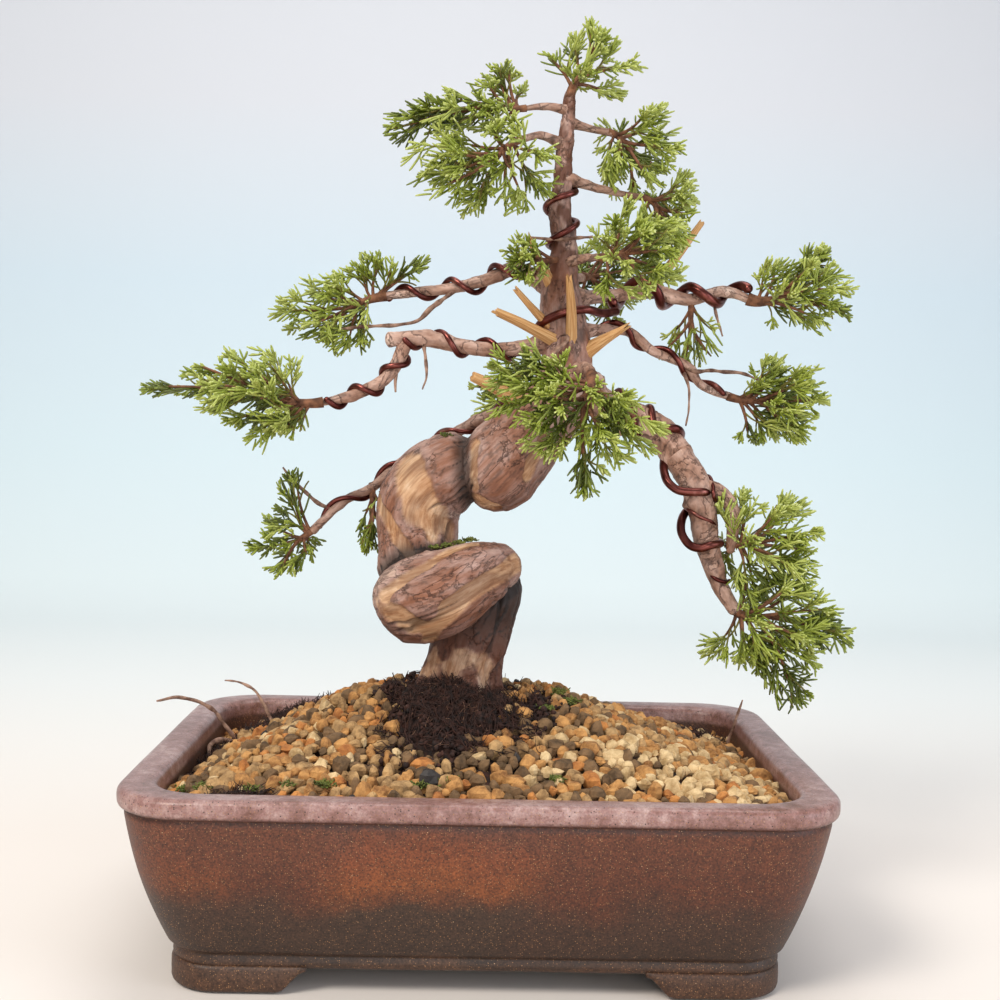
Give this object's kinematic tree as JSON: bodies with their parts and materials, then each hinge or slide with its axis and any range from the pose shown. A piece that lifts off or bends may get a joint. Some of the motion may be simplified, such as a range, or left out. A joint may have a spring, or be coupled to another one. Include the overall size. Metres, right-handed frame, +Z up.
{
  "type": "juniper bonsai in a pot",
  "caption": "Small juniper trained as a bonsai: a trunk coiled like a corkscrew, bare wired boughs and green foliage pads, set in a gritty soil mound in a footed stoneware pot.",
  "frame": {"origin": "bottom centre of the whole part: on the plane of the pot's foot undersides, under the middle of the bounding box", "axes": "+Z up, +X to the right of the side that the picture shows, +Y away from that side"},
  "size_m": [0.314, 0.205, 0.396],
  "materials": {
    "pot": "satin",
    "soil": "matte",
    "trunk_bark": "matte",
    "bough_bark": "matte",
    "deadwood": "matte",
    "training_wire": "satin",
    "foliage": "matte",
    "foliage_dark": "matte"
  },
  "bodies": {
    "root": {"pot": "pot", "soil": "soil", "trunk": "trunk_bark", "bough_apex_left_high": "bough_bark", "bough_apex_left_low": "bough_bark", "bough_apex_right_high": "bough_bark", "bough_apex_right_low": "bough_bark", "bough_back_lower": "bough_bark", "bough_back_upper": "bough_bark", "bough_cascade_inner": "bough_bark", "bough_cascade_outer": "bough_bark", "bough_front": "bough_bark", "bough_front_right": "bough_bark", "bough_left_middle_inner": "bough_bark", "bough_left_middle_outer": "bough_bark", "bough_left_upper": "bough_bark", "bough_lower_left": "bough_bark", "bough_right_lower": "bough_bark", "bough_right_middle": "bough_bark", "deadwood_cut_left": "deadwood", "deadwood_far_right": "deadwood", "deadwood_front": "deadwood", "deadwood_high_left": "deadwood", "deadwood_low_left": "deadwood", "deadwood_mid_left": "deadwood", "deadwood_right": "deadwood", "wire_cascade_inner": "training_wire", "wire_cascade_outer": "training_wire", "wire_leader": "training_wire", "wire_left_middle_inner": "training_wire", "wire_left_middle_outer": "training_wire", "wire_left_upper": "training_wire", "wire_lower_left": "training_wire", "wire_right_lower": "training_wire", "wire_right_middle": "training_wire", "foliage_apex": "foliage", "foliage_apex_left_high": "foliage", "foliage_apex_left_low": "foliage", "foliage_apex_right_high": "foliage", "foliage_apex_right_low": "foliage", "foliage_back_lower": "foliage", "foliage_back_upper": "foliage", "foliage_cascade_lower": "foliage", "foliage_cascade_upper": "foliage", "foliage_front": "foliage", "foliage_front_left_sprig": "foliage", "foliage_front_right": "foliage", "foliage_left_middle": "foliage", "foliage_left_upper": "foliage", "foliage_lower_left": "foliage_dark", "foliage_lower_left_sprig": "foliage_dark", "foliage_right_hanging": "foliage", "foliage_right_lower": "foliage", "foliage_right_middle": "foliage"}
  },
  "joints": []
}
